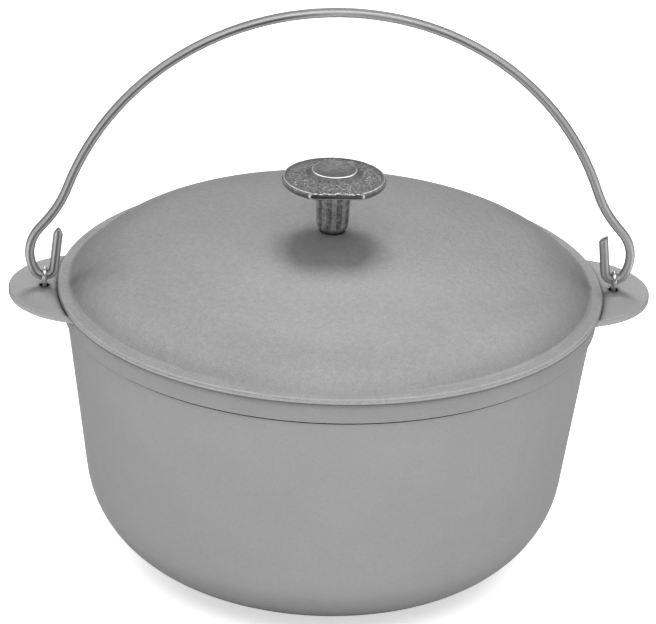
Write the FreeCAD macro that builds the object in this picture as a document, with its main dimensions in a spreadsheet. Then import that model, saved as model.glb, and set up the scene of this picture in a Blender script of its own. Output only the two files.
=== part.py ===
import FreeCAD, Part
import math
import os

import Sketcher
from FreeCAD import Vector

# A cast aluminium cauldron of about six litres, with its lid and wire bail.
# Millimetres, +Z up, the origin at the centre of the base. X runs through both ears.

SHEET = "sizes"

SIZES = {
    # Pot
    "pot_height": 144.0,
    "band_radius": 134.9,
    "band_height": 10.7,
    "wall_inset": 1.65,
    "wall_taper": 7.55,
    "corner_radius": 53.6,
    "wall_thickness": 3.8,
    "floor_thickness": 4.6,
    "groove_width": 1.4,
    "groove_depth": 0.7,
    "rim_round": 0.8,
    # Ears
    "ear_stand": 27.2,
    "ear_radius": 39.5,
    "ear_thickness": 3.6,
    "ear_root_round": 9.0,
    "ear_root_overlap": 0.4,
    # Lid
    "lid_overhang": 2.7,
    "lid_rise": 31.4,
    "lid_thickness": 3.6,
    "crown_radius": 525.0,
    "shoulder_radius": 46.8,
    "flange_width": 6.4,
    "flange_thickness": 2.8,
    "flange_round": 1.1,
    "shoulder_foot_round": 2.5,
    "locating_depth": 5.4,
    "locating_thickness": 3.2,
    "locating_clearance": 1.2,
    "boss_radius": 9.0,
    "boss_height": 3.0,
    # Knob
    "disc_radius": 26.15,
    "disc_edge": 3.4,
    "disc_bevel": 0.8,
    "knob_height": 33.1,
    "border_width": 1.3,
    "border_height": 0.35,
    "crown_ring_radius": 11.2,
    "crown_foot_radius": 13.7,
    "crown_height": 2.2,
    "face_rise": 2.1,
    "ring_width": 0.9,
    "dish_depth": 1.5,
    "gate_flat": 22.35,
    "stem_foot_radius": 8.1,
    "stem_top_radius": 8.95,
    "foot_height": 3.3,
    "foot_radius": 5.5,
    "flute_count": 10,
    "flute_radius": 2.0,
    "flute_depth": 0.7,
    # Screw and washer under the lid
    "screw_radius": 2.95,
    "screw_clearance": 0.3,
    "thread_clearance": 0.05,
    "screw_length": 14.0,
    "head_radius": 5.4,
    "head_height": 3.6,
    "socket_radius": 2.0,
    "socket_depth": 2.0,
    "washer_radius": 7.5,
    "washer_thickness": 1.4,
    # Eyes
    "eye_place": 0.3346,
    "eye_stand": 5.4,
    "eye_wire": 2.2,
    "eye_room": 0.35,
    "leg_gap": 0.1,
    "hole_room": 0.35,
    "neck_bend": 1.5,
    "leg_drop": 2.4,
    "leg_bend": 1.7,
    "leg_spread": 68.0,
    "leg_end": 5.0,
    # Bail
    "bail_wire": 4.8,
    "hook_radius": 5.6,
    "hook_leg_radius": 4.8,
    "hook_side_radius": 19.9,
    "hook_side_start": 30.0,
    "hook_lean": 40.0,
    "hook_straight": 5.4,
    "shoulder_bend": 60.0,
    "arch_start": 19.5,
    "leg_lean": 5.9,
    "wedge_leg": 21.1,
    "slant_leg": 19.3,
    "wedge_angle": 36.0,
    "wedge_nose": 1.0,
    "slant_angle": 28.0,
}


class Size:
    """A length, angle or ratio, known as a number and as an expression of the sheet's cells."""

    def __init__(self, number, text):
        self.number = number
        self.text = text

    def __add__(self, other):
        other = as_size(other)
        return Size(self.number + other.number, f"({self.text} + {other.text})")

    def __sub__(self, other):
        other = as_size(other)
        return Size(self.number - other.number, f"({self.text} - {other.text})")

    def __neg__(self):
        return Size(-self.number, f"(0 - {self.text})")

    def __mul__(self, other):
        other = as_size(other)
        return Size(self.number * other.number, f"{self.text} * {other.text}")

    def __truediv__(self, other):
        other = as_size(other)
        return Size(self.number / other.number, f"{self.text} / ({other.text})")


def as_size(value):
    """Take a plain number, such as the 2 of a half, as a size."""
    if isinstance(value, Size):
        return value
    return Size(float(value), repr(float(value)))


def size(name):
    """The size in the sheet's cell of that name."""
    return Size(SIZES[name], f"<<{SHEET}>>.{name}")


def sine(angle):
    return Size(math.sin(math.radians(angle.number)), f"sin({angle.text} * 1 deg)")


def cosine(angle):
    return Size(math.cos(math.radians(angle.number)), f"cos({angle.text} * 1 deg)")


def tangent(angle):
    return Size(math.tan(math.radians(angle.number)), f"tan({angle.text} * 1 deg)")


def bind(item, place, value, unit="mm"):
    """Bind a property or a constraint to the sheet."""
    item.setExpression(place, f"({value.text}) * 1 {unit}")


# Heights, radii and places that several pieces share

UPRIGHT = as_size(90)
RIM = size("pot_height")
BAND_FOOT = RIM - size("band_height")
WALL_RADIUS = size("band_radius") - size("wall_inset")
MOUTH_RADIUS = WALL_RADIUS + size("band_height") * tangent(size("wall_taper")) - size("wall_thickness")
LID_RADIUS = size("band_radius") + size("lid_overhang")
EAR_CENTRE = size("band_radius") + size("ear_stand") - size("ear_radius")
EYE_X = size("band_radius") + size("ear_stand") * size("eye_place")
PIVOT = RIM + size("eye_stand")
LID_TOP = RIM + size("lid_rise")
LOOP_RADIUS = size("bail_wire") / 2 + size("eye_room") + size("eye_wire") / 2
LEG_OFFSET = (size("eye_wire") + size("leg_gap")) / 2
EYE_HOLE_RADIUS = LEG_OFFSET + size("eye_wire") / 2 + size("hole_room")
SCREW_HOLE_RADIUS = size("screw_radius") + size("screw_clearance")
LID_UNDERSIDE = size("lid_rise") - size("lid_thickness") - size("boss_height")


# Sketches

def origin_part(body, role):
    """One of the body's own origin planes or axes."""
    return next(item for item in body.Origin.OriginFeatures if item.Role == role)


def new_sketch(body, name, plane, height=None):
    """A sketch on an origin plane of its body, moved along the plane's normal by a named height."""
    sketch = body.newObject("Sketcher::SketchObject", name)
    sketch.AttachmentSupport = [(origin_part(body, plane), "")]
    sketch.MapMode = "FlatFace"
    if height is not None:
        bind(sketch, "AttachmentOffset.Base.z", height)
    return sketch


def number_of(value):
    return value.number if isinstance(value, Size) else float(value)


def spot(corner):
    """A corner's place in the sketch, as numbers."""
    return Vector(number_of(corner[0]), number_of(corner[1]), 0)


def arc_between(start, end, radius, side):
    """The short arc from start to end, its centre on the left (+1) or right (-1) of the way."""
    chord = end - start
    half = chord.Length / 2
    rise = math.sqrt(max(radius ** 2 - half ** 2, 0.0))
    across = Vector(-chord.y, chord.x, 0) / chord.Length
    centre = (start + end) / 2 + across * rise * side
    first, last = (start, end) if side > 0 else (end, start)
    angles = [math.atan2(point.y - centre.y, point.x - centre.x) for point in (first, last)]
    return Part.ArcOfCircle(Part.Circle(centre, Vector(0, 0, 1), radius), *angles)


def fix_place(sketch, geometry, end, corner):
    """Tie one end of a line or arc to its corner. A plain number that isn't 0 is only a first guess."""
    for kind, axis, value in (("DistanceX", -2, corner[0]), ("DistanceY", -1, corner[1])):
        if isinstance(value, Size):
            index = sketch.addConstraint(Sketcher.Constraint(kind, -1, 1, geometry, end, value.number))
            bind(sketch, f"Constraints[{index}]", value)
        elif value == 0:
            sketch.addConstraint(Sketcher.Constraint("PointOnObject", geometry, end, axis))


def trace(sketch, corners, arcs, smooth=(), closed=True):
    """Draw an outline through its corners.

    arcs gives, for the side that starts at a corner, its radius and the side its centre is on. The
    corners in smooth join without a kink.
    """
    count = len(corners) if closed else len(corners) - 1
    sides = []
    for index in range(count):
        start = spot(corners[index])
        end = spot(corners[(index + 1) % len(corners)])
        if index in arcs:
            radius, way = arcs[index]
            geometry = sketch.addGeometry(arc_between(start, end, radius.number, way), False)
            sides.append((geometry, 1, 2) if way > 0 else (geometry, 2, 1))
        else:
            geometry = sketch.addGeometry(Part.LineSegment(start, end), False)
            sides.append((geometry, 1, 2))
    for index in range(count):
        geometry, first, last = sides[index]
        if closed or index > 0:
            before, _, joint = sides[index - 1]
            kind = "Tangent" if index in smooth else "Coincident"
            sketch.addConstraint(Sketcher.Constraint(kind, before, joint, geometry, first))
        fix_place(sketch, geometry, first, corners[index])
        if index in arcs:
            place = sketch.addConstraint(Sketcher.Constraint("Radius", geometry, arcs[index][0].number))
            bind(sketch, f"Constraints[{place}]", arcs[index][0])
    if not closed:
        geometry, _, last = sides[-1]
        fix_place(sketch, geometry, last, corners[-1])
    return [side[0] for side in sides]


def fix_angle(sketch, line, angle):
    """Hold a line at an angle from the sketch's horizontal axis."""
    index = sketch.addConstraint(Sketcher.Constraint("Angle", line, math.radians(angle.number)))
    bind(sketch, f"Constraints[{index}]", angle, "deg")


def circle(sketch, centre, radius):
    """A circle with its centre at a corner and its radius from the sheet."""
    geometry = sketch.addGeometry(Part.Circle(spot(centre), Vector(0, 0, 1), radius.number), False)
    fix_place(sketch, geometry, 3, centre)
    index = sketch.addConstraint(Sketcher.Constraint("Radius", geometry, radius.number))
    bind(sketch, f"Constraints[{index}]", radius)


# Features

def finish(body, feature):
    """Work a new feature out, and stop here if it fails."""
    body.Document.recompute()
    if "Invalid" in feature.State or "Error" in feature.State:
        raise RuntimeError(f"{feature.Name} fails on {body.Label}")
    return feature


def revolve(body, name, sketch, kind="PartDesign::Revolution"):
    """Turn a section once round the sketch's upright axis, adding or cutting."""
    feature = body.newObject(kind, name)
    feature.Profile = sketch
    feature.ReferenceAxis = (sketch, ["V_Axis"])
    feature.Angle = 360
    return finish(body, feature)


def cut_away(body, name, sketch, length, reverse=False, both=False):
    """A pocket of a named length, which has to take material away."""
    before = body.Shape.Volume
    feature = body.newObject("PartDesign::Pocket", name)
    feature.Profile = sketch
    bind(feature, "Length", length)
    feature.Reversed = reverse
    feature.Midplane = both
    finish(body, feature)
    check_cut(body, name, before)
    return feature


def check_cut(body, name, before):
    if body.Shape.Volume >= before:
        raise RuntimeError(f"{name} cuts nothing from {body.Label}")


def round_edges(body, name, radius, wanted):
    """Round the edges of the body's last shape that pass a test."""
    base = body.Tip
    names = [f"Edge{index + 1}" for index, edge in enumerate(base.Shape.Edges) if wanted(edge)]
    if not names:
        raise RuntimeError(f"{name} finds no edge on {body.Label}")
    feature = body.newObject("PartDesign::Fillet", name)
    feature.Base = (base, names)
    bind(feature, "Radius", radius)
    return finish(body, feature)


def near(value, target, room=0.01):
    return abs(value - target) < room


def level_ring(edge, height, radius):
    """Whether an edge is the level circle of a radius at a height."""
    box = edge.BoundBox
    return near(box.ZMin, height.number) and near(box.ZMax, height.number) and near(box.XMax, radius.number)


def outer_ear_edge(edge):
    """Whether an edge of the ear plate is level and runs round the outside of an ear."""
    return near(edge.BoundBox.ZLength, 0) and abs(edge.CenterOfMass.x) > EAR_CENTRE.number


def mirror(body, name, originals, plane):
    """Repeat features across one of the body's origin planes."""
    feature = body.newObject("PartDesign::Mirrored", name)
    feature.Originals = originals
    feature.MirrorPlane = (origin_part(body, plane), [""])
    body.Tip = feature
    return finish(body, feature)


def sweep(body, name, section, path, sides):
    """Sweep a round section along the sides of a path."""
    feature = body.newObject("PartDesign::AdditivePipe", name)
    feature.Profile = section
    feature.Spine = (path, [f"Edge{index + 1}" for index in range(sides)])
    return finish(body, feature)


def new_body(document, name):
    body = document.addObject("PartDesign::Body", name)
    body.Label = name
    return body


# Pot: both ears as one plate, a turned section round it, hollowed out from above

def draw_ears(sketch):
    """Two round tabs that run into the band through hollow arcs, joined across the pot's middle."""
    band = size("band_radius") - size("ear_root_overlap")
    root = size("ear_root_round")
    ear = size("ear_radius")
    centre = EAR_CENTRE.number
    to_band = (band + root).number
    to_ear = (ear + root).number
    root_x = (to_band ** 2 - to_ear ** 2 + centre ** 2) / (2 * centre)
    root_y = math.sqrt(to_band ** 2 - root_x ** 2)
    band_x = root_x * band.number / to_band
    band_y = root_y * band.number / to_band
    ear_x = centre + (root_x - centre) * ear.number / to_ear
    ear_y = root_y * ear.number / to_ear
    right = [(band_x, -band_y), (ear_x, -ear_y), (ear_x, ear_y), (band_x, band_y)]
    left = [(-x, -y) for x, y in right]
    tab = {0: (root, -1), 1: (ear, 1), 2: (root, -1)}
    arcs = {index + start: arc for start in (0, 4) for index, arc in tab.items()}
    sides = trace(sketch, right + left, arcs, smooth=(1, 2, 5, 6))
    fix_place(sketch, sides[1], 3, (EAR_CENTRE, 0))
    fix_place(sketch, sides[5], 3, (-EAR_CENTRE, 0))
    ring = sketch.addGeometry(Part.Circle(Vector(0, 0, 0), Vector(0, 0, 1), band.number), True)
    fix_place(sketch, ring, 3, (0, 0))
    index = sketch.addConstraint(Sketcher.Constraint("Radius", ring, band.number))
    bind(sketch, f"Constraints[{index}]", band)
    for side, end in ((0, 2), (2, 1), (4, 2), (6, 1)):
        sketch.addConstraint(Sketcher.Constraint("Tangent", sides[side], end, ring))


def make_pot(document):
    body = new_body(document, "cauldron_body")
    ears = new_sketch(body, "ears", "XY_Plane", RIM)
    draw_ears(ears)
    pad = body.newObject("PartDesign::Pad", "ear_plate")
    pad.Profile = ears
    pad.Reversed = True
    bind(pad, "Length", size("ear_thickness"))
    finish(body, pad)
    round_edges(body, "ear_edges", size("rim_round"), outer_ear_edge)

    outer = new_sketch(body, "pot_outer", "XZ_Plane")
    groove_foot = BAND_FOOT - size("groove_width")
    groove_root = WALL_RADIUS - size("groove_depth")
    foot_radius = WALL_RADIUS - size("groove_width") * tangent(size("wall_taper"))
    taper = math.radians(SIZES["wall_taper"])
    corner = SIZES["corner_radius"]
    wall_run = foot_radius.number - (groove_foot.number - corner) * math.tan(taper)
    flat = wall_run - corner / math.cos(taper)
    corners = [
        (0, 0),
        (flat, 0),
        (flat + corner * math.cos(taper), corner * (1 - math.sin(taper))),
        (foot_radius, groove_foot),
        (groove_root, groove_foot),
        (groove_root, BAND_FOOT),
        (size("band_radius"), BAND_FOOT),
        (size("band_radius"), RIM - size("rim_round")),
        (size("band_radius") - size("rim_round"), RIM),
        (0, RIM),
    ]
    arcs = {1: (size("corner_radius"), 1), 7: (size("rim_round"), 1)}
    sides = trace(outer, corners, arcs, smooth=(1, 2))
    fix_angle(outer, sides[2], UPRIGHT - size("wall_taper"))
    revolve(body, "pot_turned", outer)

    inner = new_sketch(body, "pot_inner", "XZ_Plane")
    inner_corner = size("corner_radius") - size("wall_thickness")
    above = RIM + size("wall_thickness")
    above_radius = MOUTH_RADIUS + size("wall_thickness") * tangent(size("wall_taper"))
    depth = above.number - SIZES["floor_thickness"] - inner_corner.number
    inner_flat = above_radius.number - depth * math.tan(taper) - inner_corner.number / math.cos(taper)
    corners = [
        (0, size("floor_thickness")),
        (inner_flat, size("floor_thickness")),
        (
            inner_flat + inner_corner.number * math.cos(taper),
            SIZES["floor_thickness"] + inner_corner.number * (1 - math.sin(taper)),
        ),
        (above_radius, above),
        (0, above),
    ]
    sides = trace(inner, corners, {1: (inner_corner, 1)}, smooth=(1, 2))
    fix_angle(inner, sides[2], UPRIGHT - size("wall_taper"))
    before = body.Shape.Volume
    revolve(body, "pot_hollow", inner, "PartDesign::Groove")
    check_cut(body, "pot_hollow", before)
    round_edges(body, "mouth_edge", size("rim_round"), lambda edge: level_ring(edge, RIM, MOUTH_RADIUS))

    holes = new_sketch(body, "eye_holes", "XY_Plane", RIM)
    circle(holes, (EYE_X, 0), EYE_HOLE_RADIUS)
    circle(holes, (-EYE_X, 0), EYE_HOLE_RADIUS)
    cut_away(body, "eye_holes_cut", holes, size("ear_thickness") * 1.5)
    return body


# Lid: a domed casting whose flange rests on the rim, with a locating rim inside the mouth

def dome_guess(crown, shoulder, top, foot_radius, foot_height):
    """Where the crown runs into the shoulder, worked out from the two circles' centres."""
    crown_centre = top - crown
    to_foot = foot_height - crown_centre
    reach = math.hypot(foot_radius, to_foot)
    inner = crown - shoulder
    along = (inner ** 2 + reach ** 2 - shoulder ** 2) / (2 * inner * reach)
    angle = math.atan2(foot_radius, to_foot) - math.acos(along)
    return crown * math.sin(angle), crown_centre + crown * math.cos(angle)


def make_lid(document):
    body = new_body(document, "lid")
    bind(body, "Placement.Base.z", RIM)
    foot_radius = LID_RADIUS - size("flange_width")
    locating_radius = MOUTH_RADIUS - size("locating_clearance")
    locating_foot = -size("locating_depth")
    hollow_radius = locating_radius - size("locating_thickness")
    inner_crown = size("crown_radius") - size("lid_thickness")
    inner_shoulder = size("shoulder_radius") - size("lid_thickness")
    inner_top = size("lid_rise") - size("lid_thickness")
    outer_join = dome_guess(
        SIZES["crown_radius"], SIZES["shoulder_radius"], SIZES["lid_rise"],
        foot_radius.number, SIZES["flange_thickness"])
    inner_join = dome_guess(
        inner_crown.number, inner_shoulder.number, inner_top.number,
        hollow_radius.number, SIZES["flange_thickness"])
    section = new_sketch(body, "lid_section", "XZ_Plane")
    corners = [
        (0, size("lid_rise")),
        outer_join,
        (foot_radius, size("flange_thickness")),
        (LID_RADIUS, size("flange_thickness")),
        (LID_RADIUS, 0),
        (locating_radius, 0),
        (locating_radius, locating_foot),
        (hollow_radius, locating_foot),
        (hollow_radius, size("flange_thickness")),
        inner_join,
        (0, inner_top),
    ]
    arcs = {
        0: (size("crown_radius"), -1),
        1: (size("shoulder_radius"), -1),
        8: (inner_shoulder, 1),
        9: (inner_crown, 1),
    }
    sides = trace(section, corners, arcs, smooth=(1, 9))
    for crown in (sides[0], sides[9]):
        section.addConstraint(Sketcher.Constraint("PointOnObject", crown, 3, -2))
    revolve(body, "lid_turned", section)

    boss = new_sketch(body, "boss", "XY_Plane", LID_UNDERSIDE)
    circle(boss, (0, 0), size("boss_radius"))
    pad = body.newObject("PartDesign::Pad", "screw_boss")
    pad.Profile = boss
    bind(pad, "Length", size("boss_height") + size("lid_thickness") / 2)
    document.recompute()

    hole = new_sketch(body, "screw_hole", "XY_Plane", size("lid_rise"))
    circle(hole, (0, 0), SCREW_HOLE_RADIUS)
    cut_away(body, "screw_hole_cut", hole, size("lid_rise"))

    flange_top = size("flange_thickness")
    round_edges(body, "flange_edge", size("flange_round"), lambda edge: (
        level_ring(edge, flange_top, LID_RADIUS)))
    round_edges(body, "shoulder_foot", size("shoulder_foot_round"), lambda edge: (
        level_ring(edge, flange_top, foot_radius)))
    return body


# Knob: a cast disc with a raised ring, on a fluted stem

def make_knob(document):
    body = new_body(document, "knob")
    bind(body, "Placement.Base.z", LID_TOP)
    ring_top = size("knob_height")
    crown_foot = ring_top - size("crown_height")
    face_edge = crown_foot - size("face_rise")
    border_top = face_edge + size("border_height")
    disc_foot = border_top - size("disc_edge")
    border_inside = size("disc_radius") - size("disc_bevel") - size("border_width")
    ring_inside = size("crown_ring_radius") - size("ring_width")
    thread_radius = size("screw_radius") + size("thread_clearance")
    thread_top = LID_UNDERSIDE - size("lid_rise") - size("washer_thickness") + size("screw_length") + 1
    section = new_sketch(body, "knob_section", "XZ_Plane")
    corners = [
        (thread_radius, 0),
        (size("foot_radius"), 0),
        (size("stem_foot_radius"), size("foot_height")),
        (size("stem_top_radius"), disc_foot),
        (size("disc_radius") - size("disc_bevel"), disc_foot),
        (size("disc_radius"), disc_foot + size("disc_bevel")),
        (size("disc_radius"), border_top - size("disc_bevel")),
        (size("disc_radius") - size("disc_bevel"), border_top),
        (border_inside, border_top),
        (border_inside, face_edge),
        (size("crown_foot_radius"), crown_foot),
        (size("crown_ring_radius"), ring_top),
        (ring_inside, ring_top),
        (0, ring_top - size("dish_depth")),
        (0, thread_top),
        (thread_radius, thread_top),
    ]
    dish = (ring_inside * ring_inside / size("dish_depth") / 2 + size("dish_depth") / 2, -1)
    trace(section, corners, {12: dish})
    revolve(body, "knob_turned", section)

    radii = ("stem_foot_radius", "stem_top_radius")
    heights = (as_size(0), disc_foot)
    circles = []
    for radius, height in zip(radii, heights):
        flute = new_sketch(body, f"flute_{radius}", "XY_Plane", height)
        reach = size(radius) + size("flute_radius") - size("flute_depth")
        turn = as_size(180) / size("flute_count") - UPRIGHT
        circle(flute, (reach * cosine(turn), reach * sine(turn)), size("flute_radius"))
        circles.append(flute)
    before = body.Shape.Volume
    loft = body.newObject("PartDesign::SubtractiveLoft", "flute")
    loft.Profile = circles[0]
    loft.Sections = [circles[1]]
    loft.Ruled = True
    document.recompute()
    check_cut(body, "flute", before)
    pattern = body.newObject("PartDesign::PolarPattern", "flutes")
    pattern.Originals = [loft]
    pattern.Axis = (origin_part(body, "Z_Axis"), [""])
    pattern.Angle = 360
    bind(pattern, "Occurrences", size("flute_count"), "")
    body.Tip = pattern
    document.recompute()

    gate = new_sketch(body, "gate", "XY_Plane", disc_foot)
    side = size("disc_radius")
    back = -size("gate_flat")
    front = side * -1.2
    trace(gate, [(-side, back), (-side, front), (side, front), (side, back)], {})
    cut_away(body, "gate_flat_cut", gate, size("disc_edge") * 2, reverse=True)
    return body


# Screw and washer that hold the knob, under the lid

def make_screw(document):
    body = new_body(document, "knob_screw")
    bind(body, "Placement.Base.z", RIM + LID_UNDERSIDE - size("washer_thickness"))
    head_foot = -size("head_height")
    section = new_sketch(body, "screw_section", "XZ_Plane")
    corners = [
        (0, head_foot + size("socket_depth")),
        (size("socket_radius"), head_foot + size("socket_depth")),
        (size("socket_radius"), head_foot),
        (size("head_radius") - size("socket_radius") / 2, head_foot),
        (size("head_radius"), head_foot + size("socket_radius") / 2),
        (size("head_radius"), 0),
        (size("screw_radius"), 0),
        (size("screw_radius"), size("screw_length") - size("screw_radius") / 3),
        (size("screw_radius") * 0.75, size("screw_length")),
        (0, size("screw_length")),
    ]
    trace(section, corners, {})
    revolve(body, "screw_turned", section)
    return body


def make_washer(document):
    body = new_body(document, "knob_washer")
    bind(body, "Placement.Base.z", RIM + LID_UNDERSIDE - size("washer_thickness"))
    rings = new_sketch(body, "washer_rings", "XY_Plane")
    circle(rings, (0, 0), size("washer_radius"))
    circle(rings, (0, 0), SCREW_HOLE_RADIUS)
    pad = body.newObject("PartDesign::Pad", "washer_plate")
    pad.Profile = rings
    bind(pad, "Length", size("washer_thickness"))
    document.recompute()
    return body


# Eye: a wire loop round the bail's hook, its legs side by side through the ear and spread below it

def make_eye(document, name, side):
    body = new_body(document, name)
    bind(body, "Placement.Base.x", EYE_X * side)
    bind(body, "Placement.Base.z", PIVOT)
    reach = LOOP_RADIUS + size("neck_bend")
    bend_centre = LEG_OFFSET + size("neck_bend")
    drop = math.sqrt(reach.number ** 2 - bend_centre.number ** 2)
    share = LOOP_RADIUS.number / reach.number
    leg_foot = size("leg_bend") - size("leg_drop") - size("ear_thickness") - size("eye_stand")
    spread = size("leg_spread")
    bend_out = LEG_OFFSET + size("leg_bend") * (as_size(1) - cosine(spread))
    bend_down = leg_foot - size("leg_bend") * sine(spread)
    path = new_sketch(body, "eye_path", "YZ_Plane")
    corners = [
        (0, LOOP_RADIUS),
        (bend_centre.number * share, -drop * share),
        (LEG_OFFSET, -drop),
        (LEG_OFFSET, leg_foot),
        (bend_out, bend_down),
        (bend_out + size("leg_end") * sine(spread), bend_down - size("leg_end") * cosine(spread)),
    ]
    loop_side = path.addGeometry(
        Part.ArcOfCircle(
            Part.Circle(Vector(0, 0, 0), Vector(0, 0, 1), LOOP_RADIUS.number),
            math.atan2(-drop, bend_centre.number), math.pi / 2), False)
    fix_place(path, loop_side, 3, (0, 0))
    fix_place(path, loop_side, 2, (0, LOOP_RADIUS))
    bends = {0: (size("neck_bend"), 1), 2: (size("leg_bend"), 1)}
    rest = trace(path, corners[1:], bends, smooth=(1,), closed=False)
    path.addConstraint(Sketcher.Constraint("Tangent", loop_side, 1, rest[0], 1))
    section = new_sketch(body, "eye_section", "XZ_Plane")
    circle(section, (0, LOOP_RADIUS), size("eye_wire") / 2)
    half = sweep(body, "eye_half", section, path, len(corners) - 1)
    mirror(body, "eye_whole", [half], "XZ_Plane")
    return body


# Bail: one wire, an arch that runs out into a hook at each end

def hook_route():
    """The wire's centre line from the arch's top to the hook's cut end, about the hooks' axis."""
    hook = size("hook_radius")
    side = size("hook_side_radius")
    start = size("hook_side_start")
    lean = size("hook_lean")
    bend = size("shoulder_bend")
    arch = size("arch_start")
    inner = size("hook_leg_radius")
    tilt = size("leg_lean")
    up = (EYE_X + hook * cosine(start), hook - hook * sine(start))
    side_centre = (up[0] - side * cosine(start), up[1] + side * sine(start))
    over = (side_centre[0] + side * cosine(lean), side_centre[1] + side * sine(lean))
    run = (over[0] - size("hook_straight") * sine(lean), over[1] + size("hook_straight") * cosine(lean))
    bend_centre = (run[0] + bend * cosine(lean), run[1] + bend * sine(lean))
    foot = (bend_centre[0] - bend * cosine(arch), bend_centre[1] - bend * sine(arch))
    radius = foot[0] / cosine(arch)
    top = (0, foot[1] - radius * sine(arch) + radius)
    leg = (EYE_X - inner * cosine(tilt), inner - inner * sine(tilt))
    end = (leg[0] - size("wedge_leg") * sine(tilt), leg[1] + size("wedge_leg") * cosine(tilt))
    corners = [top, foot, run, over, up, (EYE_X, as_size(0)), leg, end]
    arcs = {0: (radius, -1), 1: (bend, 1), 3: (side, -1), 4: (hook, -1), 5: (inner, -1)}
    return corners, arcs


def leg_corner(side, across, along):
    """A point near a free leg's swept end, from its centre outwards across it and onwards along it."""
    across = as_size(across)
    along = as_size(along)
    end = hook_route()[0][-1]
    lean = size("leg_lean")
    out = end[0] + across * cosine(lean) - along * sine(lean)
    up = end[1] + across * sine(lean) + along * cosine(lean)
    return out * side, up


def make_bail(document):
    body = new_body(document, "bail")
    bind(body, "Placement.Base.z", PIVOT)
    corners, arcs = hook_route()
    path = new_sketch(body, "bail_path", "XZ_Plane")
    trace(path, corners, arcs, closed=False)
    section = new_sketch(body, "bail_section", "YZ_Plane")
    circle(section, (0, corners[0][1]), size("bail_wire") / 2)
    arm = sweep(body, "bail_half", section, path, len(corners) - 1)
    mirror(body, "bail_whole", [arm], "YZ_Plane")

    # The left end is pinched off to a blunt wedge, the right end cut off aslant, high on its outer side
    half_wire = size("bail_wire") / 2
    past = half_wire * 1.2
    nose = size("wedge_nose") / 2
    wedge_drop = (past - nose) / tangent(size("wedge_angle"))
    wedge = new_sketch(body, "wedge_end", "XZ_Plane")
    trace(wedge, [
        leg_corner(-1, nose, 0),
        leg_corner(-1, past, -wedge_drop),
        leg_corner(-1, past, half_wire),
        leg_corner(-1, -past, half_wire),
        leg_corner(-1, -past, -wedge_drop),
        leg_corner(-1, -nose, 0),
    ], {})
    cut_away(body, "wedge_cut", wedge, size("bail_wire") * 2, both=True)
    slope = tangent(size("slant_angle"))
    slant_top = size("slant_leg") - size("wedge_leg")
    slant = new_sketch(body, "slant_end", "XZ_Plane")
    trace(slant, [
        leg_corner(1, past, slant_top + (past - half_wire) * slope),
        leg_corner(1, past, half_wire),
        leg_corner(1, -past, half_wire),
        leg_corner(1, -past, slant_top - (past + half_wire) * slope),
    ], {})
    cut_away(body, "slant_cut", slant, size("bail_wire") * 2, both=True)
    return body


def make_document():
    document = FreeCAD.newDocument("cauldron")
    sheet = document.addObject("Spreadsheet::Sheet", SHEET)
    for row, (name, number) in enumerate(SIZES.items(), start=1):
        sheet.set(f"A{row}", name)
        sheet.set(f"B{row}", str(number))
        sheet.setAlias(f"B{row}", name)
    document.recompute()
    return document


def check(document, bodies):
    for item in document.Objects:
        if "Invalid" in item.State or "Error" in item.State:
            raise RuntimeError(f"{item.Name} failed: {item.State}")
    for body in bodies:
        if body.Shape.isNull() or not body.Shape.isValid():
            raise RuntimeError(f"{body.Label} has no valid shape")


def main():
    document = make_document()
    bodies = [
        make_pot(document),
        make_lid(document),
        make_knob(document),
        make_screw(document),
        make_washer(document),
        make_eye(document, "eye_left", -1),
        make_eye(document, "eye_right", 1),
        make_bail(document),
    ]
    document.recompute()
    check(document, bodies)
    os.makedirs("parts", exist_ok=True)
    for body in bodies:
        body.Shape.exportStep(f"parts/{body.Label}.step")
        box = body.Shape.BoundBox
        print(body.Label, round(body.Shape.Volume), [round(value, 2) for value in (
            box.XMin, box.XMax, box.YMin, box.YMax, box.ZMin, box.ZMax)])


main()
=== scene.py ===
import math

import bmesh
import bpy
from mathutils import Matrix, Vector, noise


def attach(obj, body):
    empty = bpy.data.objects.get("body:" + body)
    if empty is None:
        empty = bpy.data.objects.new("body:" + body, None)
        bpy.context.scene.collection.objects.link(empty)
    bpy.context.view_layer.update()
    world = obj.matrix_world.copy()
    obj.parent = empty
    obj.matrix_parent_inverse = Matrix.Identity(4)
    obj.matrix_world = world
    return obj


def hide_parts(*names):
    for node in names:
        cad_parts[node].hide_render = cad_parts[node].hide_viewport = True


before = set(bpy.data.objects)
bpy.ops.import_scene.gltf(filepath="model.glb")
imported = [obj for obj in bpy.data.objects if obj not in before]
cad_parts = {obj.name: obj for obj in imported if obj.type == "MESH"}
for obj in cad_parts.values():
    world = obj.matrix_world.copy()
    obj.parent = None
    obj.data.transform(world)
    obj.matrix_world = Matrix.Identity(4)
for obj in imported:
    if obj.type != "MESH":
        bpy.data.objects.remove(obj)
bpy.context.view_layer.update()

MM = 0.001

# The photograph: its frame in pixels, the lens in pixels, and where the aim point falls
IMAGE_WIDTH = 656
IMAGE_HEIGHT = 624
LENS_PIXELS = 4000
AIM_PIXEL = (328.6, 328.2)

# The view: where the camera looks and from how far, in metres, how it is turned, in degrees, and its sensor
AIM = Vector((0, 0, 121.2 * MM))
DISTANCE = 2.031
AZIMUTH = -4.15
ELEVATION = 24.64
ROLL = 2.15
SENSOR = 36

# Sizes of the solids that their materials follow, in millimetres
RIM_TOP = 144.0
BAND_RADIUS = 134.9
LID_RADIUS = 137.6
FLANGE_ROUND = 1.1
WIRE_RADIUS = 2.4
HOOK_REACH = 150

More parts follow.
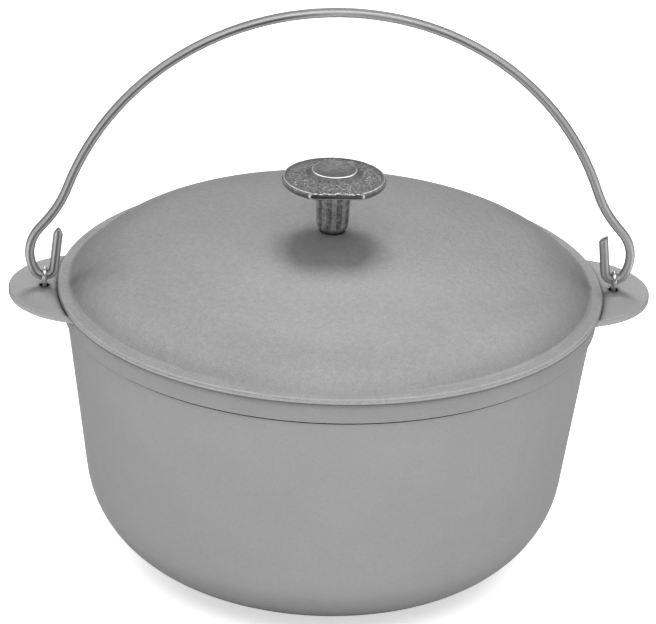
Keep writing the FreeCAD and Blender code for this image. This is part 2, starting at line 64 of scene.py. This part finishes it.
# The knob's own sizes in millimetres, as in its solid, with heights from the lid's top
LID_TOP = 175.4
KNOB_HEIGHT = 33.1
DISC_RADIUS = 26.15
DISC_EDGE = 3.4
DISC_BEVEL = 0.8
BORDER_WIDTH = 1.3
BORDER_HEIGHT = 0.35
RING_RADIUS = 11.2
RING_WIDTH = 0.9
DISH_DEPTH = 1.5
CROWN_FOOT_RADIUS = 13.7
CROWN_HEIGHT = 2.2
FACE_RISE = 2.1
GATE_FLAT = 22.35
GATE_BEVEL = 0.6
STEM_FOOT_RADIUS = 8.1
STEM_TOP_RADIUS = 8.95
FOOT_HEIGHT = 3.3
FOOT_RADIUS = 5.5
FLUTE_COUNT = 10
FLUTE_RADIUS = 2.0
FLUTE_DEPTH = 0.7
BORE_RADIUS = 3.0
BORE_DEPTH = 10.0
FACE_EDGE = KNOB_HEIGHT - CROWN_HEIGHT - FACE_RISE
STEM_HEIGHT = FACE_EDGE + BORDER_HEIGHT - DISC_EDGE

# How finely the knob is turned: vertices around it, millimetres between them along its outline
KNOB_SIDES = 360
OUTLINE_STEP = 0.5
OUTLINE_GUARD = 0.12
DISH_STEPS = 8

# The knob's cast face, in millimetres: how high its roughness stands, and how it fades towards its edges
RELIEF = 0.52
RELIEF_FADE = 0.8
RELIEF_MARGIN = 0.3

# The roughness's coarse lumps to a millimetre. The fine ones are half as large.
RELIEF_GRAIN = 0.95

# How rubbed the knob is in places, from 0 to 1. The relief's share also paints light on the tops of the cast
# face.
LAND_WEAR = 0.50
FLUTE_WEAR = 0.41
FACE_WEAR = 0.29
RELIEF_WEAR_AND_LIGHT = 0.28


# Small helpers

def link(obj):
    bpy.context.scene.collection.objects.link(obj)
    return obj


def direction(azimuth, elevation):
    """The way from the object to a point: azimuth 0 is the front, 90 the right."""
    turn = math.radians(azimuth)
    rise = math.radians(elevation)
    return Vector((math.sin(turn) * math.cos(rise), -math.cos(turn) * math.cos(rise), math.sin(rise)))


# Camera, lamps, room and floor

def make_camera():
    """The photograph's view, shifted a little so that the aim point falls where it does there."""
    data = bpy.data.cameras.new("camera")
    data.sensor_width = SENSOR
    data.lens = LENS_PIXELS / IMAGE_WIDTH * SENSOR
    data.shift_x = (IMAGE_WIDTH / 2 - AIM_PIXEL[0]) / IMAGE_WIDTH
    data.shift_y = (AIM_PIXEL[1] - IMAGE_HEIGHT / 2) / IMAGE_WIDTH
    data.clip_start = 0.1
    data.clip_end = 50
    camera = link(bpy.data.objects.new("camera", data))
    back = direction(AZIMUTH, ELEVATION)
    roll = Matrix.Rotation(math.radians(ROLL), 3, "Z")
    turn = (-back).to_track_quat("-Z", "Y").to_matrix() @ roll
    camera.matrix_world = Matrix.Translation(AIM + back * DISTANCE) @ turn.to_4x4()
    bpy.context.scene.camera = camera


def make_lamp(name, azimuth, elevation, distance, width, height, power):
    """A soft box that faces the object."""
    data = bpy.data.lights.new(name, "AREA")
    data.shape = "RECTANGLE"
    data.size = width
    data.size_y = height
    data.energy = power
    lamp = link(bpy.data.objects.new(name, data))
    way = direction(azimuth, elevation)
    lamp.location = AIM + way * distance
    lamp.rotation_mode = "QUATERNION"
    lamp.rotation_quaternion = (-way).to_track_quat("-Z", "Y")


def make_lamps():
    """Soft boxes all round. The small one behind throws the knob's shadow forward over the lid."""
    make_lamp("behind", azimuth=174, elevation=53, distance=1.6, width=0.75, height=0.55, power=8.4)
    make_lamp("overhead", azimuth=0, elevation=80, distance=1.8, width=2.0, height=1.0, power=1)
    make_lamp("front", azimuth=0, elevation=55, distance=1.8, width=2.1, height=0.8, power=20)
    make_lamp("left", azimuth=-108, elevation=43, distance=1.7, width=1.4, height=1.0, power=11)
    make_lamp("right", azimuth=100, elevation=46, distance=1.7, width=1.4, height=1.0, power=10.5)


def make_world():
    """A plain room: dim at eye level on the camera's side, brighter overhead and behind."""
    world = bpy.data.worlds.new("room")
    bpy.context.scene.world = world
    world.use_nodes = True
    tree = world.node_tree
    way = tree.nodes.new("ShaderNodeTexCoord").outputs["Generated"]
    behind = ramp(tree, along(tree, way, "Y"), [(0.0, 0.06), (0.45, 0.08), (1.0, 0.13)], low=-1, high=1)
    above = ramp(tree, along(tree, way, "Z"), [(0.0, 0.0), (0.35, 0.05), (1.0, 0.15)], low=0, high=1)
    tree.links.new(math_node(tree, "ADD", behind, above), tree.nodes["Background"].inputs["Color"])


def make_floor():
    """A white floor just under the pot. The camera and reflections see it lit from within."""
    reach = 6
    drop = -0.2 * MM
    glow = 0.62
    corners = [(-reach, -reach, drop), (reach, -reach, drop), (reach, reach, drop), (-reach, reach, drop)]
    mesh = bpy.data.meshes.new("floor")
    mesh.from_pydata(corners, [], [(0, 1, 2, 3)])
    floor = link(bpy.data.objects.new("floor", mesh))
    tree, shader = new_material(floor, "floor_white")
    shader.inputs["Base Color"].default_value = (0.9, 0.9, 0.9, 1)
    shader.inputs["Roughness"].default_value = 0.9
    shader.inputs["Specular IOR Level"].default_value = 0.0
    shader.inputs["Emission Color"].default_value = (1, 1, 1, 1)
    path = tree.nodes.new("ShaderNodeLightPath")
    seen = math_node(tree, "MAXIMUM", path.outputs["Is Camera Ray"], path.outputs["Is Glossy Ray"])
    seen = math_node(tree, "MAXIMUM", seen, path.outputs["Is Transmission Ray"])
    tree.links.new(times(tree, seen, glow), shader.inputs["Emission Strength"])


# Material nodes

def new_material(obj, name, slot=None):
    """A node material for one slot of an object, or for all of them. Gives its tree and its shader."""
    material = bpy.data.materials.new(name)
    material.use_nodes = True
    if not obj.data.materials:
        obj.data.materials.append(material)
    slots = range(len(obj.data.materials)) if slot is None else [slot]
    for index in slots:
        obj.data.materials[index] = material
    return material.node_tree, material.node_tree.nodes["Principled BSDF"]


def math_node(tree, operation, first, second=0.0):
    node = tree.nodes.new("ShaderNodeMath")
    node.operation = operation
    for socket, value in zip(node.inputs, (first, second)):
        if isinstance(value, (int, float)):
            socket.default_value = value
        else:
            tree.links.new(value, socket)
    return node.outputs[0]


def times(tree, first, *others):
    """The product of some values and sockets."""
    product = first
    for factor in others:
        product = math_node(tree, "MULTIPLY", product, factor)
    return product


def blend_levels(tree, share, first, second):
    """Go from a first level to a second as a share goes from 0 to 1."""
    kept = times(tree, first, math_node(tree, "SUBTRACT", 1.0, share))
    return math_node(tree, "ADD", kept, times(tree, second, share))


def around_one(tree, value, amount):
    """Turn a noise about a half into a factor about one."""
    centred = math_node(tree, "SUBTRACT", value, 0.5)
    return math_node(tree, "ADD", times(tree, centred, amount * 2), 1.0)


def ramp(tree, value, stops, low=0.0, high=1.0):
    """A grey level that follows a value through some stops, from a low value to a high one."""
    spread = tree.nodes.new("ShaderNodeMapRange")
    spread.inputs["From Min"].default_value = low
    spread.inputs["From Max"].default_value = high
    tree.links.new(value, spread.inputs["Value"])
    node = tree.nodes.new("ShaderNodeValToRGB")
    while len(node.color_ramp.elements) < len(stops):
        node.color_ramp.elements.new(0.5)
    for element, (place, level) in zip(node.color_ramp.elements, stops):
        element.position = place
        element.color = (level, level, level, 1)
    tree.links.new(spread.outputs["Result"], node.inputs["Fac"])
    return node.outputs["Color"]


def grain(tree, vector, scale, detail=3.0, rough=0.6):
    """A noise whose lumps are about one over scale metres across."""
    node = tree.nodes.new("ShaderNodeTexNoise")
    node.inputs["Scale"].default_value = scale
    node.inputs["Detail"].default_value = detail
    node.inputs["Roughness"].default_value = rough
    tree.links.new(vector, node.inputs["Vector"])
    return node.outputs["Fac"]


def object_place(tree, stretch=None):
    """The place on the object, in metres, stretched by a factor for each axis where one is given."""
    place = tree.nodes.new("ShaderNodeTexCoord").outputs["Object"]
    if stretch is None:
        return place
    scaled = tree.nodes.new("ShaderNodeVectorMath")
    scaled.operation = "MULTIPLY"
    scaled.inputs[1].default_value = stretch
    tree.links.new(place, scaled.inputs[0])
    return scaled.outputs[0]


def along(tree, vector, axis):
    """One of a vector's three parts."""
    parts = tree.nodes.new("ShaderNodeSeparateXYZ")
    tree.links.new(vector, parts.inputs[0])
    return parts.outputs[axis]


def out_from_axis(tree):
    """The distance from the upright axis, in metres."""
    node = tree.nodes.new("ShaderNodeVectorMath")
    node.operation = "LENGTH"
    tree.links.new(object_place(tree, (1, 1, 0)), node.inputs[0])
    return node.outputs["Value"]


def closed_in(tree, reach, stops):
    """A factor that drops where other surfaces within a reach close a place in, for painting shade into a
    colour.
    """
    node = tree.nodes.new("ShaderNodeAmbientOcclusion")
    node.samples = 6
    node.inputs["Distance"].default_value = reach
    return ramp(tree, node.outputs["AO"], stops)


def add_bump(tree, shader, height, distance, strength):
    node = tree.nodes.new("ShaderNodeBump")
    node.inputs["Distance"].default_value = distance
    node.inputs["Strength"].default_value = strength
    tree.links.new(height, node.inputs["Height"])
    tree.links.new(node.outputs["Normal"], shader.inputs["Normal"])


def dull_edges(shader):
    """Keep a rough metal from brightening where it is seen along its surface."""
    level = 0.3
    shader.inputs["Specular Tint"].default_value = (level, level, level, 1)


# Materials of the castings

def cast_aluminium(obj, name, level, contrast, crevice_shade_reach):
    """Blasted aluminium casting: a matte metal with a fine grain, a faint mottle and painted shade in its
    corners and gaps.

    Gives the node tree, the shader and the shade, which the caller finishes and puts on the shader.
    """
    tree, shader = new_material(obj, name)
    place = object_place(tree)
    fine = grain(tree, place, 1100)
    lumps = grain(tree, place, 330)
    cloud = grain(tree, place, 28, detail=2)
    speckle = times(tree, around_one(tree, fine, 0.12 * contrast), around_one(tree, lumps, 0.09 * contrast))
    # Painted shade: darker in gaps, grooves and corners, where other surfaces close a place in
    painted_crevice_shade = closed_in(tree, crevice_shade_reach * MM, [(0.0, 0.1), (0.6, 0.25), (0.72, 0.5), (0.86, 1.0)])
    shade = times(tree, speckle, around_one(tree, cloud, 0.05), painted_crevice_shade, level)
    tree.links.new(times(tree, around_one(tree, lumps, 0.10), 0.62), shader.inputs["Roughness"])
    shader.inputs["Metallic"].default_value = 0.90
    dull_edges(shader)
    height = math_node(tree, "ADD", fine, times(tree, lumps, 1.4))
    add_bump(tree, shader, height, 0.10 * contrast * MM, 0.6)
    return tree, shader, shade


def cast_pot(obj):
    """The pot's casting, with painted shade darkening its foot towards the floor and painted light on its
    ears.
    """
    tree, shader, shade = cast_aluminium(obj, "cast_pot", level=0.33, contrast=1.0, crevice_shade_reach=4)
    # Painted shade: darker towards the floor along the bottom of the pot
    floor_shade_stops = [(0.0, 0.40), (0.2, 0.5), (0.5, 0.82), (1.0, 1.0)]
    painted_floor_shade = ramp(tree, along(tree, object_place(tree), "Z"), floor_shade_stops, low=0, high=32 * MM)
    # Painted light: the ears, out past the band, are made lighter
    ear_light_start = BAND_RADIUS + 0.3
    ear_light_full = BAND_RADIUS + 2.1
    ear_light_stops = [(0.0, 1.0), (1.0, 1.2)]
    painted_ear_light = ramp(tree, out_from_axis(tree), ear_light_stops, low=ear_light_start * MM, high=ear_light_full * MM)
    tree.links.new(times(tree, shade, painted_floor_shade, painted_ear_light), shader.inputs["Base Color"])


def cast_lid(obj):
    """The lid's casting, lighter where its edge is turned, partly as turned metal and partly as a painted
    highlight, and with a painted shadow where it rests on the pot.
    """
    tree, shader, shade = cast_aluminium(obj, "cast_lid", level=0.35, contrast=2.0, crevice_shade_reach=1.2)
    # Lighter turned edge: partly the turned metal's own tone, partly a painted highlight along the flange's
    # edge
    lit_edge_full = LID_RADIUS - FLANGE_ROUND
    lit_edge_start = lit_edge_full - 0.3
    lit_edge_stops = [(0.0, 1.0), (1.0, 1.18)]
    turned_and_lit_edge = ramp(tree, out_from_axis(tree), lit_edge_stops, low=lit_edge_start * MM, high=lit_edge_full * MM)
    # Painted shadow: darkest at the lid's lowest edge, where it sits on the pot's rim
    seat_shadow_stops = [(0.0, 0.3), (0.5, 0.45), (1.0, 1.0)]
    seat_shadow_end = RIM_TOP + 0.8
    painted_seat_shadow = ramp(tree, along(tree, object_place(tree), "Z"), seat_shadow_stops, low=RIM_TOP * MM, high=seat_shadow_end * MM)
    tree.links.new(times(tree, shade, turned_and_lit_edge, painted_seat_shadow), shader.inputs["Base Color"])


def knob_casting(obj, name, slot):
    """Raw casting, darker than the pot, rubbed bright where its wear attribute says so; on the cast face that
    attribute also holds painted light on the relief's tops.
    """
    tree, shader = new_material(obj, name, slot)
    place = object_place(tree)
    fine = grain(tree, place, 1000)
    lumps = grain(tree, place, 420)
    worn_and_lit = tree.nodes.new("ShaderNodeAttribute")
    worn_and_lit.attribute_name = "wear"
    patchy = times(tree, worn_and_lit.outputs["Fac"], around_one(tree, lumps, 0.4))
    rubbed_and_lit = ramp(tree, patchy, [(0.0, 0.0), (0.35, 0.0), (0.75, 1.0)])
    raw = times(tree, around_one(tree, fine, 1.0), around_one(tree, lumps, 0.55), 0.155)
    tree.links.new(blend_levels(tree, rubbed_and_lit, raw, 0.75), shader.inputs["Base Color"])
    tree.links.new(blend_levels(tree, rubbed_and_lit, 0.58, 0.28), shader.inputs["Roughness"])
    shader.inputs["Metallic"].default_value = 0.9
    height = math_node(tree, "ADD", fine, times(tree, lumps, 2.0))
    add_bump(tree, shader, height, 0.15 * MM, 0.8)


def ground_metal(obj, name, slot):
    """The flat where the gate was ground off: smooth, with fine level scratches, and a dark base colour that
    is a painted reflection.
    """
    tree, shader = new_material(obj, name, slot)
    scratches = grain(tree, object_place(tree, (120, 120, 2600)), 1.0, detail=4)
    # Painted reflection: the flat's base colour is kept dark
    tree.links.new(times(tree, around_one(tree, scratches, 0.8), 0.10), shader.inputs["Base Color"])
    tree.links.new(times(tree, around_one(tree, scratches, 0.3), 0.38), shader.inputs["Roughness"])
    shader.inputs["Metallic"].default_value = 0.9
    add_bump(tree, shader, scratches, 0.05 * MM, 0.5)


# Materials of the wires

def wire_grain(tree, mottle_scale):
    """Streaks that run along a wire where it is bent in the plane of X and Z, and a fine mottle."""
    streaks = grain(tree, object_place(tree, (60, 2400, 60)), 1.0, detail=4)
    mottle = grain(tree, object_place(tree), mottle_scale)
    return streaks, mottle


def finish_wire(tree, shader, streaks, mottle, shade, rough):
    """Put a shade, a roughness and the marks of the die on a wire's shader."""
    tree.links.new(shade, shader.inputs["Base Color"])
    tree.links.new(times(tree, around_one(tree, streaks, 0.3), rough), shader.inputs["Roughness"])
    height = math_node(tree, "ADD", streaks, times(tree, mottle, 0.3))
    add_bump(tree, shader, height, 0.06 * MM, 0.6)


def drawn_wire(obj, name, level, rough, streak):
    """Bright drawn wire. It serves for small turned steel too."""
    tree, shader = new_material(obj, name)
    streaks, mottle = wire_grain(tree, 700)
    shade = times(tree, around_one(tree, streaks, streak), around_one(tree, mottle, 0.15), level)
    finish_wire(tree, shader, streaks, mottle, shade, rough)
    shader.inputs["Metallic"].default_value = 1.0


def painted_shade_line(tree, mottle):
    """A factor that paints a wandering line of shade along the wire's front and back, deeper in some
    stretches.
    """
    out = math_node(tree, "ABSOLUTE", along(tree, object_place(tree), "Y"))
    wander = times(tree, math_node(tree, "SUBTRACT", mottle, 0.5), 0.08 * MM)
    line_stops = [(0.0, 0.0), (0.94, 0.0), (0.985, 0.9), (1.0, 1.0)]
    line = ramp(tree, math_node(tree, "ADD", out, wander), line_stops, high=WIRE_RADIUS * MM)
    depth_stops = [(0.0, 0.7), (0.4, 0.85), (0.5, 0.3), (0.7, 0.75), (1.0, 0.4)]
    across = along(tree, object_place(tree), "X")
    depth = ramp(tree, across, depth_stops, low=-HOOK_REACH * MM, high=HOOK_REACH * MM)
    return math_node(tree, "SUBTRACT", 1.0, times(tree, line, depth))


def bail_wire(obj, name):
    """Dull drawn steel wire with a painted line of shade along its front and back, and painted shade on the
    inside and outside of its bends.
    """
    tree, shader = new_material(obj, name)
    streaks, mottle = wire_grain(tree, 600)
    out = math_node(tree, "ABSOLUTE", along(tree, object_place(tree), "Y"))
    # Painted shade: darker towards the inside and outside of the bends, the wire's edges as seen from the
    # front
    painted_edge_shade = ramp(tree, out, [(0.0, 0.3), (0.55, 0.45), (0.85, 1.0)], high=WIRE_RADIUS * MM)
    speckle = times(tree, around_one(tree, streaks, 0.30), around_one(tree, mottle, 0.20))
    shade = times(tree, speckle, painted_shade_line(tree, mottle), painted_edge_shade, 0.52)
    finish_wire(tree, shader, streaks, mottle, shade, 0.46)
    shader.inputs["Metallic"].default_value = 0.4
    dull_edges(shader)


# Knob: a turned profile with flutes pressed into its stem, a rough face, and the gate's flat

def rounded(corners):
    """Round the corners of a profile. A corner is its radius, height, rounding and wear."""
    arc_steps = 4
    points = []
    for index, (radius, height, rounding, wear) in enumerate(corners):
        corner = Vector((radius, height))
        if rounding == 0:
            points.append((corner, wear))
            continue
        before = (Vector(corners[index - 1][:2]) - corner).normalized() * rounding
        after = (Vector(corners[index + 1][:2]) - corner).normalized() * rounding
        for step in range(arc_steps + 1):
            share = step / arc_steps
            bend = before * (1 - share) ** 2 + after * share ** 2
            points.append((corner + bend, wear))
    return points


def divided(points):
    """Add points along a profile's long runs, the first and last of them close to its ends.

    Wear stays at the corners, because the added points have none.
    """
    profile = [points[0]]
    for (start, _), (end, wear) in zip(points, points[1:]):
        length = (end - start).length
        if length > 3 * OUTLINE_GUARD:
            count = math.ceil(length / OUTLINE_STEP)
            guard = OUTLINE_GUARD / length
            shares = [guard] + [index / count for index in range(1, count)] + [1 - guard]
            profile.extend((start.lerp(end, share), 0.0) for share in shares)
        profile.append((end, wear))
    return profile


def knob_profile():
    """The knob's outline from the middle of its dish, over the disc and down the stem, to its bore."""
    border_top = FACE_EDGE + BORDER_HEIGHT
    ring_inside = RING_RADIUS - RING_WIDTH
    border_inside = DISC_RADIUS - DISC_BEVEL - BORDER_WIDTH
    dish = []
    for step in range(DISH_STEPS):
        share = step / DISH_STEPS
        dish.append((ring_inside * share, KNOB_HEIGHT - DISH_DEPTH * (1 - share ** 2), 0, 0.0))
    corners = dish + [
        (ring_inside, KNOB_HEIGHT, 0.2, 0.2),
        (RING_RADIUS, KNOB_HEIGHT, 0.3, 0.85),
        (CROWN_FOOT_RADIUS, KNOB_HEIGHT - CROWN_HEIGHT, 0.6, 0.0),
        (border_inside, FACE_EDGE, 0.15, 0.0),
        (border_inside, border_top, 0.15, 0.3),
        (DISC_RADIUS - DISC_BEVEL, border_top, 0.3, 0.55),
        (DISC_RADIUS, border_top - DISC_BEVEL, 0.4, 0.4),
        (DISC_RADIUS, STEM_HEIGHT + DISC_BEVEL, 0.4, 0.3),
        (DISC_RADIUS - DISC_BEVEL, STEM_HEIGHT, 0.4, 0.2),
        (STEM_TOP_RADIUS, STEM_HEIGHT, 0.8, 0.0),
        (STEM_FOOT_RADIUS, FOOT_HEIGHT, 0.8, 0.3),
        (FOOT_RADIUS, 0, 0, 0.0),
        (BORE_RADIUS, 0, 0, 0.0),
        (BORE_RADIUS, BORE_DEPTH, 0, 0.0),
        (0, BORE_DEPTH, 0, 0.0),
    ]
    return divided(rounded(corners))


def fluted(radius, height, angle):
    """The radius left at an angle once a round groove is pressed into the stem between two lands."""
    pitch = 2 * math.pi / FLUTE_COUNT
    off_land = (angle + math.pi / 2) % pitch
    away = off_land - pitch / 2
    stem = STEM_FOOT_RADIUS + (STEM_TOP_RADIUS - STEM_FOOT_RADIUS) * height / STEM_HEIGHT
    reach = stem + FLUTE_RADIUS - FLUTE_DEPTH
    across = reach * math.sin(away)
    if abs(across) >= FLUTE_RADIUS:
        return radius
    return min(radius, reach * math.cos(away) - math.sqrt(FLUTE_RADIUS ** 2 - across ** 2))


def cast_relief(radius, place):
    """How far the rough face between the crown and the border stands up at a place, about -1 to 1."""
    inside = CROWN_FOOT_RADIUS + RELIEF_MARGIN
    outside = DISC_RADIUS - DISC_BEVEL - BORDER_WIDTH - RELIEF_MARGIN
    if not inside < radius < outside:
        return 0.0
    fade = min(1.0, (radius - inside) / RELIEF_FADE, (outside - radius) / RELIEF_FADE)
    return fade * (noise.noise(place * RELIEF_GRAIN) + 0.8 * noise.noise(place * 2 * RELIEF_GRAIN))


def turn_knob(shape):
    """Turn the profile about the upright axis, a vertex for each point of it and each angle."""
    wear_and_light_layer = shape.verts.layers.float.new("wear")
    rings = []
    for point, corner_wear in knob_profile():
        on_stem = FOOT_RADIUS < point.x < STEM_TOP_RADIUS + 1 and 0 < point.y < STEM_HEIGHT
        on_disc = point.y > STEM_HEIGHT + DISC_BEVEL
        ring = []
        for index in range(KNOB_SIDES if point.x > 0 else 1):
            angle = 2 * math.pi * index / KNOB_SIDES
            radius = fluted(point.x, point.y, angle) if on_stem else point.x
            place = Vector((radius * math.cos(angle), radius * math.sin(angle), point.y))
            relief = cast_relief(radius, place) if on_disc else 0.0
            wear = 0.0
            if on_stem:
                wear = LAND_WEAR if radius == point.x else FLUTE_WEAR
            elif relief:
                # Lighter on the relief's tops: partly rubbed metal, partly painted light
                wear = FACE_WEAR + RELIEF_WEAR_AND_LIGHT * relief
            place.z += LID_TOP + RELIEF * relief
            vertex = shape.verts.new(place * MM)
            vertex[wear_and_light_layer] = max(corner_wear, wear)
            ring.append(vertex)
        rings.append(ring)
    for upper, lower in zip(rings, rings[1:]):
        join_rings(shape, upper, lower)
    return wear_and_light_layer


def join_rings(shape, upper, lower):
    """Close the band between two rings of vertices. A ring of one vertex is a point on the axis."""
    for index in range(KNOB_SIDES):
        following = (index + 1) % KNOB_SIDES
        corners = [upper[index % len(upper)], lower[index % len(lower)]]
        if len(lower) > 1:
            corners.append(lower[following])
        if len(upper) > 1:
            corners.append(upper[following])
        shape.faces.new(corners)


def cut_gate_flat(shape, wear_and_light_layer):
    """Slice the disc's front off and rub the new edge bright."""
    cut = bmesh.ops.bisect_plane(
        shape, geom=shape.verts[:] + shape.edges[:] + shape.faces[:],
        plane_co=(0, -GATE_FLAT * MM, 0), plane_no=(0, -1, 0), clear_outer=True)
    rim = [item for item in cut["geom_cut"] if isinstance(item, bmesh.types.BMEdge)]
    for face in bmesh.ops.holes_fill(shape, edges=rim, sides=0)["faces"]:
        face.material_index = 1
    bevelled = bmesh.ops.bevel(
        shape, geom=rim, offset=GATE_BEVEL * MM, segments=2, profile=0.5, affect="EDGES", material=0)
    for vertex in bevelled["verts"]:
        vertex[wear_and_light_layer] = 1.0


def make_knob():
    """The knob in place of its solid: the casting in its first slot, the gate's flat in its second."""
    shape = bmesh.new()
    wear_and_light_layer = turn_knob(shape)
    cut_gate_flat(shape, wear_and_light_layer)
    bmesh.ops.recalc_face_normals(shape, faces=shape.faces[:])
    mesh = bpy.data.meshes.new("cast_knob")
    shape.to_mesh(mesh)
    shape.free()
    mesh.polygons.foreach_set("use_smooth", [True] * len(mesh.polygons))
    knob = link(bpy.data.objects.new("cast_knob", mesh))
    mesh.materials.append(None)
    mesh.materials.append(None)
    knob_casting(knob, "knob_casting", 0)
    ground_metal(knob, "gate_flat", 1)
    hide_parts("knob")
    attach(knob, "pot")


def dress_solids():
    """Give the solids that stay their materials."""
    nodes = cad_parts
    cast_pot(nodes["cauldron_body"])
    cast_lid(nodes["lid"])
    bail_wire(nodes["bail"], "bail_wire")
    for side in ("left", "right"):
        drawn_wire(nodes[f"eye_{side}"], f"eye_wire_{side}", level=0.62, rough=0.30, streak=0.2)
    drawn_wire(nodes["knob_screw"], "screw_steel", level=0.6, rough=0.35, streak=0.1)
    drawn_wire(nodes["knob_washer"], "washer_steel", level=0.6, rough=0.35, streak=0.1)


def main():
    make_camera()
    make_world()
    make_floor()
    make_lamps()
    make_knob()
    dress_solids()
    bpy.context.scene.view_settings.view_transform = "Standard"


main()
